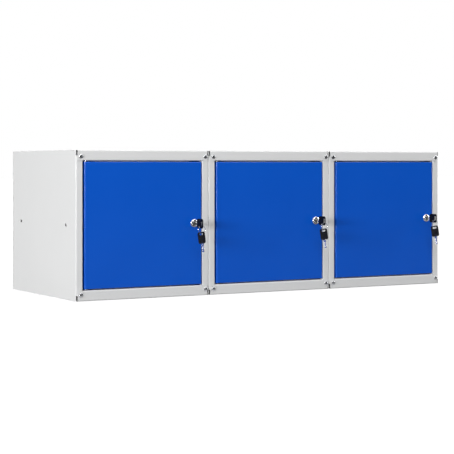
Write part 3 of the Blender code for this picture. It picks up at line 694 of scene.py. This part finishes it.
# Door
def door():
    """A pan folded back on four sides, with holes for the pins and the lock."""
    low = (DOOR_LEFT, DOOR_SETBACK, DOOR_BOTTOM)
    high = (DOOR_RIGHT, DOOR_SETBACK + DOOR_DEPTH, HEIGHT - DOOR_BOTTOM)
    shape = box(low, high)
    back = max(shape.faces, key=lambda face: face.calc_center_median().y)
    bmesh.ops.inset_region(shape, faces=[back], thickness=DOOR_LIP, use_even_offset=True)
    bmesh.ops.delete(shape, geom=[back], context="FACES")
    piece = object_from(shape, "door")
    bevel(piece, DOOR_FOLD_RADIUS, FOLD_SEGMENTS)
    thicken(piece)
    cut(piece, rod((HINGE_X, HINGE_Y, 0), (HINGE_X, HINGE_Y, HEIGHT), PIN_HOLE_RADIUS, 32))
    half = LOCK_FLAT + SEAT_GAP
    hole = [
        (min(max(x, -half), half), y) for x, y in ring_points(LOCK_BARREL_RADIUS + SEAT_GAP, 64)
    ]
    spot = front_matrix(LOCK_X, HEIGHT / 2)
    cut(piece, prism(hole, -OVERRUN_IN - SHEET, OVERRUN_IN), matrix=spot)
    master(piece, "door", "door", BLUE, "blue_paint", ("door",))


# Lock: its frame has x to the right, y up and z out of the door, and its profiles are as above
LOCK = front_matrix(LOCK_X, HEIGHT / 2, DOOR_SETBACK)
LOCK_INNER_END = -0.02
LOCK_FACE = [
    (0, 0.0042), (0.0086, 0.0042), (0.0104, 0.0032), (0.0115, 0.0014), (0.0115, 0.0003),
    (0.0095, 0.0003), (0.0095, -0.0012),
]
LOCK_FACE_ROUND = 0.0005
LOCK_ROOT = 0.0090
LOCK_THREAD_TOP, LOCK_THREAD_STEP, LOCK_THREAD_STEPS = -0.0016, 0.0005, 30
LOCK_FLAT_REACH = 0.014
LOCK_NUT_RADIUS, LOCK_NUT, LOCK_NUT_CHAMFER = 0.0128, (-0.0053, -0.0013), 0.0012
LOCK_BORE = [
    (0, 0.008), (0.0078, 0.008), (0.0074, 0.0040), (0.0068, 0.0034), (0.0068, LOCK_INNER_END),
    (0, LOCK_INNER_END),
]
PLUG_PROFILE = [
    (0, 0.0036), (0.0060, 0.0036), (0.0065, 0.0031), (0.0065, -0.0171), (0.0032, -0.0171),
    (0.0032, -0.0197), (0.0046, -0.0197), (0.0046, -0.0212), (0.0038, -0.0221), (0, -0.0221),
]
PLUG_SHANK, PLUG_SHANK_HEIGHTS = 0.0032, (-0.0205, -0.0166)
PLUG_RECESS = (0.0028, 0.00045, -0.024, -0.0208)
KEYWAY_HALF_WIDTH, KEYWAY_HALF_HEIGHT, KEYWAY_CORNER = 0.00125, 0.00405, 0.0002
KEYWAY_HEIGHTS = (-0.0158, 0.006)
CAM_HALF_WIDTH, CAM_HOLE, CAM_HOLE_ROUND = 0.008, 0.0035, 0.0004


def square(half, radius, steps):
    return rounded_rectangle((-half, -half), (half, half), radius, steps)


def lock_body():
    """The flanged face, the threaded barrel with its two flats, the nut and the plug's bore."""
    thread = thread_points(
        LOCK_BARREL_RADIUS, LOCK_ROOT, LOCK_THREAD_TOP, LOCK_THREAD_STEP, LOCK_THREAD_STEPS
    )
    end = [(0.0091, -LOCK_BARREL_LENGTH), (0, -LOCK_BARREL_LENGTH)]
    profile = rounded_profile(LOCK_FACE, LOCK_FACE_ROUND, 4) + thread + end
    piece = object_from(turned(profile, 72), "lock_body", LOCK)
    reach = LOCK_FLAT_REACH
    for side in (-1, 1):
        near, far = sorted((side * LOCK_FLAT, side * reach))
        flat = box((near, -reach, LOCK_INNER_END), (far, reach, SEAT_GAP))
        cut(piece, flat, matrix=LOCK)
    add_hexagon(piece, LOCK, LOCK_NUT_RADIUS, LOCK_NUT, LOCK_NUT_CHAMFER)
    cut(piece, turned(rounded_profile(LOCK_BORE, EDGE_ROUND, 3), 72), matrix=LOCK)
    master(piece, "lock_body", "door", CHROME, "chrome", ("lock_body",), 30)


def lock_plug():
    """The plug with its keyway, its square shank and the screw that holds the cam."""
    piece = object_from(turned(rounded_profile(PLUG_PROFILE, EDGE_ROUND, 3), 64), "lock_plug", LOCK)
    shank = prism(square(PLUG_SHANK, EDGE_ROUND, 4), *PLUG_SHANK_HEIGHTS)
    cut(piece, shank, "UNION", LOCK)
    width, height = KEYWAY_HALF_WIDTH, KEYWAY_HALF_HEIGHT
    keyway = rounded_rectangle((-width, -height), (width, height), KEYWAY_CORNER, 3)
    cut(piece, prism(keyway, *KEYWAY_HEIGHTS), matrix=LOCK)
    cross_recess(piece, LOCK, PLUG_RECESS)
    master(piece, "lock_plug", "lock", CHROME, "chrome", ("lock_plug",), 30)


def lock_cam():
    """A flat bar with a round end on the plug and rounded corners at its tip."""
    half = CAM_HALF_WIDTH
    tip = half / 2
    outline = ring_points(half, 25, (0, 0), math.pi, math.pi, False)
    outline += ring_points(tip, 9, (half - tip, CAM_LENGTH - tip), 0, math.pi / 2, False)
    outline += ring_points(tip, 9, (tip - half, CAM_LENGTH - tip), math.pi / 2, math.pi / 2, False)
    front, back = -CAM_FRONT, -CAM_FRONT - 2 * SHEET
    piece = object_from(prism(outline, back, front), "lock_cam", LOCK)
    hole = prism(square(CAM_HOLE, CAM_HOLE_ROUND, 3), back - OVERRUN_OUT, front + OVERRUN_OUT)
    cut(piece, hole, matrix=LOCK)
    bevel(piece, EDGE_ROUND, 2, 50)
    master(piece, "lock_cam", "lock", ZINC, "zinc_steel", ("lock_cam",), 30)


# Keys: a key's frame has x across it, y from its tip to its bow and z through its flat
BOW_LOW, BOW_HIGH, BOW_CORNER = (-0.013, 0.0), (0.013, 0.032), 0.0055
BOW_HALF, BOW_ROUND = 0.0013, 0.0006
SLOT_LOW, SLOT_HIGH, SLOT_CORNER = (-0.007, 0.02325), (0.007, 0.02875), 0.00275
HOLLOW_LOW, HOLLOW_HIGH, HOLLOW_CORNER = (-0.0098, 0.0035), (0.0098, 0.0200), 0.0032
HOLLOW_FLOOR, HOLLOW_ROUND = 0.00095, 0.0002
KEY_CUT = 0.003
BLADE_HALF, BLADE_LENGTH, BLADE_TIP = 0.00375, 0.024, 0.0018
BLADE_ROOT, BLADE_SHOULDER = 0.004, 0.00475
BLADE_SLOPE = 0.001
BLADE_THICKNESS, BLADE_ROUND = 0.00095, 0.00015
BITTING = (0.20, 0.34, 0.14, 0.28)
BITTING_SPACES, BITTING_FILL, BITTING_FLAT = 5, 0.85, 0.0003
GROOVE_LOW, GROOVE_HIGH, GROOVE_CORNER = (-0.0022, -0.0255), (-0.0006, -0.0045), 0.0004
GROOVE_FLOOR, GROOVE_TOP = 0.00055, 0.002


def key_bow(name, matrix, body, replaces):
    """A black bow with a rounded edge, a hollow on each face and a slot for the ring."""
    outline = rounded_rectangle(BOW_LOW, BOW_HIGH, BOW_CORNER, 10)
    piece = object_from(prism(outline, -BOW_HALF, BOW_HALF), name, matrix)
    slot = rounded_rectangle(SLOT_LOW, SLOT_HIGH, SLOT_CORNER, 12)
    cut(piece, prism(slot, -KEY_CUT, KEY_CUT), matrix=matrix)
    bevel(piece, BOW_ROUND, 4, 50)
    bake(piece)
    hollow = rounded_rectangle(HOLLOW_LOW, HOLLOW_HIGH, HOLLOW_CORNER, 8)
    for side in (-1, 1):
        low, high = sorted((side * HOLLOW_FLOOR, side * KEY_CUT))
        cut(piece, prism(hollow, low, high), matrix=matrix)
    bevel(piece, HOLLOW_ROUND, 2, 60)
    master(piece, name, body, PLASTIC, "black_plastic", replaces, 30)


def blade_outline():
    """The blade, from its root in the bow down to its tip, with the cuts on one edge."""
    half, length, tip = BLADE_HALF, BLADE_LENGTH, BLADE_TIP
    root, slope = BLADE_ROOT, BLADE_ROOT - BLADE_SLOPE
    pitch = (length - root - tip) / BITTING_SPACES
    reach = pitch * BITTING_FILL / 2
    points = [(-BLADE_SHOULDER, root), (-BLADE_SHOULDER, -slope), (-half, -root)]
    points += [(-half, tip - length), (tip - half, -length), (half - tip, -length)]
    points.append((half, tip - length))
    for number, share in enumerate(BITTING):
        at = tip - length + pitch * (number + 0.5)
        depth = half - 2 * half * share
        points += [(half, at - reach), (depth, at - BITTING_FLAT)]
        points += [(depth, at + BITTING_FLAT), (half, at + reach)]
    points += [(half, -root), (BLADE_SHOULDER, -slope), (BLADE_SHOULDER, root)]
    return points


def key_blade(name, matrix, body):
    """A flat steel blade with its cuts and a milled groove on each side."""
    blade = prism(blade_outline(), -BLADE_THICKNESS, BLADE_THICKNESS)
    piece = object_from(blade, name, matrix)
    groove = rounded_rectangle(GROOVE_LOW, GROOVE_HIGH, GROOVE_CORNER, 4)
    for side in (-1, 1):
        low, high = sorted((side * GROOVE_FLOOR, side * GROOVE_TOP))
        cut(piece, prism(groove, low, high), matrix=matrix)
    bevel(piece, BLADE_ROUND, 2, 40)
    master(piece, name, body, STEEL, "zinc_steel", (), 30)


# Where the keys and the ring hang: the key stands out of the lock, the ring hangs from the low end
# of the bow's slot, and the spare key hangs from the bottom of the ring
KEY_OUT = 0.0185
RING_RADIUS, RING_WIRE, RING_DROP = 0.0106, 0.00043, 0.0061
SLOT_END, SLOT_MIDDLE = -0.010, 0.026
SPARE_HOLD = (-0.0026, -0.02735, 0)
SPARE_TURN, SPARE_LEAN = -72, 10
KEY = (
    LOCK @ Matrix.Translation((0, 0, KEY_OUT))
    @ Matrix(((0, 0, 1), (1, 0, 0), (0, 1, 0))).to_4x4()
)
RING_PIVOT = (
    KEY @ Matrix.Translation((SLOT_END, SLOT_MIDDLE, 0))
    @ Matrix(((0, 1, 0), (0, 0, 1), (1, 0, 0))).to_4x4()
)
RING = RING_PIVOT @ Matrix.Translation((0, -RING_DROP, 0))
SPARE = (
    RING_PIVOT @ Matrix.Translation((0, -RING_DROP - RING_RADIUS, 0))
    @ Matrix.Rotation(math.radians(SPARE_TURN), 4, "Y")
    @ Matrix.Rotation(math.radians(SPARE_LEAN), 4, "Z")
    @ Matrix.Translation(SPARE_HOLD)
)

# The ring's two turns lie RING_SPREAD apart and cross over RING_CROSSING radians each way
RING_SPREAD, RING_CROSSING, RING_END_GAP = 0.00092, 0.26, 0.06
RING_POINTS, RING_TURN = 150, 2.2


def ring_point(step):
    """A point on the middle of the ring's wire."""
    start = RING_CROSSING + RING_END_GAP
    end = 4 * math.pi - RING_CROSSING - RING_END_GAP
    angle = start + (end - start) * step / (RING_POINTS - 1)
    share = min(max((angle - 2 * math.pi + RING_CROSSING) / (2 * RING_CROSSING), 0), 1)
    side = (share * share * (3 - 2 * share) - 0.5) * RING_SPREAD
    turn = angle + RING_TURN
    return RING_RADIUS * math.cos(turn), RING_RADIUS * math.sin(turn), side, 1


def split_ring():
    """Two turns of round wire side by side, with the short crossing between them."""
    curve = bpy.data.curves.new("ring_wire", "CURVE")
    curve.dimensions = "3D"
    curve.bevel_depth = RING_WIRE
    curve.bevel_resolution = 3
    curve.use_fill_caps = True
    spline = curve.splines.new("POLY")
    spline.points.add(RING_POINTS - 1)
    for step, point in enumerate(spline.points):
        point.co = ring_point(step)
    guide = bpy.data.objects.new("ring_wire", curve)
    bpy.context.scene.collection.objects.link(guide)
    bpy.context.view_layer.update()
    graph = bpy.context.evaluated_depsgraph_get()
    data = bpy.data.meshes.new_from_object(guide.evaluated_get(graph))
    bpy.data.objects.remove(guide, do_unlink=True)
    shape = bmesh.new()
    shape.from_mesh(data)
    bmesh.ops.remove_doubles(shape, verts=shape.verts, dist=MERGE / 10)
    piece = object_from(shape, "key_ring", RING)
    master(piece, "key_ring", "ring", CHROME, "chrome", ("key_ring",), 60)


side_panel("left_side_panel", SCREW_INSET_LEFT, False)
side_panel("right_side_panel", SCREW_INSET_RIGHT, True)
rail_panel("bottom_panel", (SCREW_INSET_LEFT, SCREW_INSET_RIGHT), False)
rail_panel("top_panel", (SCREW_INSET_RIGHT, SCREW_INSET_LEFT), True)
back_panel()
corner_screws()
hinge_pin("lower_hinge_pin", False)
hinge_pin("upper_hinge_pin", True)
joining_bolt("joining_bolt_front", DEPTH * JOIN_HOLE_SHARES[0])
joining_bolt("joining_bolt_rear", DEPTH * JOIN_HOLE_SHARES[1])
door()
lock_body()
lock_plug()
lock_cam()
key_bow("key", KEY, "key", ("key",))
key_blade("key_blade", KEY, "key")
key_bow("spare_key", SPARE, "spare", ("spare_key",))
key_blade("spare_key_blade", SPARE, "spare")
split_ring()
place_masters()


# Floor, background, lights and camera: a ramp is where it starts and ends, and its value at both
FLOOR_HALF, FLOOR_DROP, FLOOR_GREY = 30, 0.0002, 0.20
GLOW_ROUND, GLOW_FRONT = (0.8, 4.0, 1.62, 1.78), (-0.34, -0.22, 0.04, 1.0)
WORLD_FRONT, WORLD_SIDE = (-0.75, -0.25, 0.10, 1.0), (-0.55, 0.15, 1.0, 0.10)
CAMERA_SHARE, REFLECTED_SHARE = 0.6, 0.45
WORLD_COLOUR, WORLD_STRENGTH = (0.98, 0.99, 1.0, 1), 0.11
LAMPS = {
    "left_light": ((-5.2, -2.1, 0.72), (-0.3, 0, 0.2), (2.2, 1.0), 222),
    "front_light": ((-0.7, -3.2, 3.2), (0, 0, 0.2), (3.0, 2.0), 82),
    "right_light": ((5.4, -0.5, 2.0), (0.3, 0, 0.2), (2.4, 2.0), 140),
    "top_light": ((2.2, -1.0, 4.0), (0, 0, 0.2), (3.4, 2.0), 78),
    "back_light": ((0.6, 3.8, 3.8), (0, 0, 0.2), (3.0, 2.4), 130),
}
CAMERA_PLACE, CAMERA_TURN = (-2.1445, -3.713, 0.36), -29.86
CAMERA_LENS, CAMERA_SENSOR, CAMERA_SHIFT, CAMERA_REACH = 114.2, 36, -0.1363, 100


def maths(tree, operation, first, second):
    node = tree.nodes.new("ShaderNodeMath")
    node.operation = operation
    for socket, value in zip(node.inputs, (first, second)):
        if isinstance(value, (int, float)):
            socket.default_value = value
        else:
            tree.links.new(value, socket)
    return node.outputs[0]


def ramp(tree, value, start, end, low, high):
    """A smooth change from one value to another."""
    node = tree.nodes.new("ShaderNodeMapRange")
    node.interpolation_type = "SMOOTHSTEP"
    for name, number in (
        ("From Min", start), ("From Max", end), ("To Min", low), ("To Max", high)
    ):
        node.inputs[name].default_value = number
    tree.links.new(value, node.inputs["Value"])
    return node.outputs["Result"]


def kinds_of_ray(tree):
    """One for camera rays, and one for glossy and transmission rays."""
    path = tree.nodes.new("ShaderNodeLightPath")
    glossy, passing = path.outputs["Is Glossy Ray"], path.outputs["Is Transmission Ray"]
    return path.outputs["Is Camera Ray"], maths(tree, "MAXIMUM", glossy, passing)


def split_place(tree, kind):
    """A texture coordinate, and its three parts."""
    place = tree.nodes.new("ShaderNodeTexCoord").outputs[kind]
    parts = tree.nodes.new("ShaderNodeSeparateXYZ")
    tree.links.new(place, parts.inputs[0])
    return place, parts.outputs


def floor_glow(tree, to_camera):
    """White light from the floor, whose part before the object is dark in reflections."""
    place, parts = split_place(tree, "Object")
    far = tree.nodes.new("ShaderNodeVectorMath")
    far.operation = "LENGTH"
    tree.links.new(place, far.inputs[0])
    white = ramp(tree, far.outputs["Value"], *GLOW_ROUND)
    front = ramp(tree, parts["Y"], *GLOW_FRONT)
    glow = tree.nodes.new("ShaderNodeEmission")
    glow.inputs["Color"].default_value = (1, 1, 1, 1)
    strength = maths(tree, "MULTIPLY", white, maths(tree, "MAXIMUM", to_camera, front))
    tree.links.new(strength, glow.inputs["Strength"])
    return glow


def white_floor():
    """A pale floor that glows white to the camera and to metal, and keeps a soft shadow."""
    shape = bmesh.new()
    bmesh.ops.create_grid(shape, x_segments=1, y_segments=1, size=FLOOR_HALF)
    floor = object_from(shape, "floor", Matrix.Translation((0, 0, -FLOOR_DROP)))
    made = material("floor_white", (FLOOR_GREY, FLOOR_GREY, FLOOR_GREY), 0.0, 0.9, 0.0)
    tree = made.node_tree
    to_camera, reflected = kinds_of_ray(tree)
    seen = maths(tree, "MULTIPLY", to_camera, CAMERA_SHARE)
    mirrored = maths(tree, "MULTIPLY", reflected, REFLECTED_SHARE)
    mix = tree.nodes.new("ShaderNodeMixShader")
    tree.links.new(maths(tree, "MAXIMUM", seen, mirrored), mix.inputs["Fac"])
    tree.links.new(tree.nodes["Principled BSDF"].outputs[0], mix.inputs[1])
    tree.links.new(floor_glow(tree, to_camera).outputs[0], mix.inputs[2])
    tree.links.new(mix.outputs[0], tree.nodes["Material Output"].inputs["Surface"])
    floor.data.materials.append(made)


def dark_front(tree, to_camera):
    """One all round for the camera, while reflections of the front and right are dark."""
    parts = split_place(tree, "Generated")[1]
    front = ramp(tree, parts["Y"], *WORLD_FRONT)
    side = ramp(tree, parts["X"], *WORLD_SIDE)
    return maths(tree, "MAXIMUM", maths(tree, "MULTIPLY", front, side), to_camera)


def white_world():
    """White to the camera and in reflections, and a weak light from all sides."""
    world = bpy.data.worlds.new("studio")
    bpy.context.scene.world = world
    world.use_nodes = True
    tree = world.node_tree
    dim = tree.nodes["Background"]
    dim.inputs["Color"].default_value = WORLD_COLOUR
    dim.inputs["Strength"].default_value = WORLD_STRENGTH
    bright = tree.nodes.new("ShaderNodeBackground")
    bright.inputs["Color"].default_value = (1, 1, 1, 1)
    to_camera, reflected = kinds_of_ray(tree)
    tree.links.new(dark_front(tree, to_camera), bright.inputs["Strength"])
    mix = tree.nodes.new("ShaderNodeMixShader")
    tree.links.new(maths(tree, "MAXIMUM", to_camera, reflected), mix.inputs["Fac"])
    tree.links.new(dim.outputs[0], mix.inputs[1])
    tree.links.new(bright.outputs[0], mix.inputs[2])
    tree.links.new(mix.outputs[0], tree.nodes["World Output"].inputs["Surface"])


def soft_light(name, place, target, size, power):
    """A rectangular lamp at a place, turned to a target."""
    lamp = bpy.data.lights.new(name, "AREA")
    lamp.shape = "RECTANGLE"
    lamp.size, lamp.size_y = size
    lamp.energy = power
    made = bpy.data.objects.new(name, lamp)
    bpy.context.scene.collection.objects.link(made)
    made.location = place
    made.rotation_euler = (Vector(target) - Vector(place)).to_track_quat("-Z", "Y").to_euler()


def camera():
    data = bpy.data.cameras.new("camera")
    data.lens = CAMERA_LENS
    data.sensor_width = CAMERA_SENSOR
    data.shift_y = CAMERA_SHIFT
    data.clip_end = CAMERA_REACH
    made = bpy.data.objects.new("camera", data)
    bpy.context.scene.collection.objects.link(made)
    made.location = CAMERA_PLACE
    made.rotation_euler = (math.pi / 2, 0, math.radians(CAMERA_TURN))
    bpy.context.scene.camera = made


white_floor()
white_world()
for lamp_name, lamp_values in LAMPS.items():
    soft_light(lamp_name, *lamp_values)
camera()
bpy.context.scene.view_settings.view_transform = "Standard"
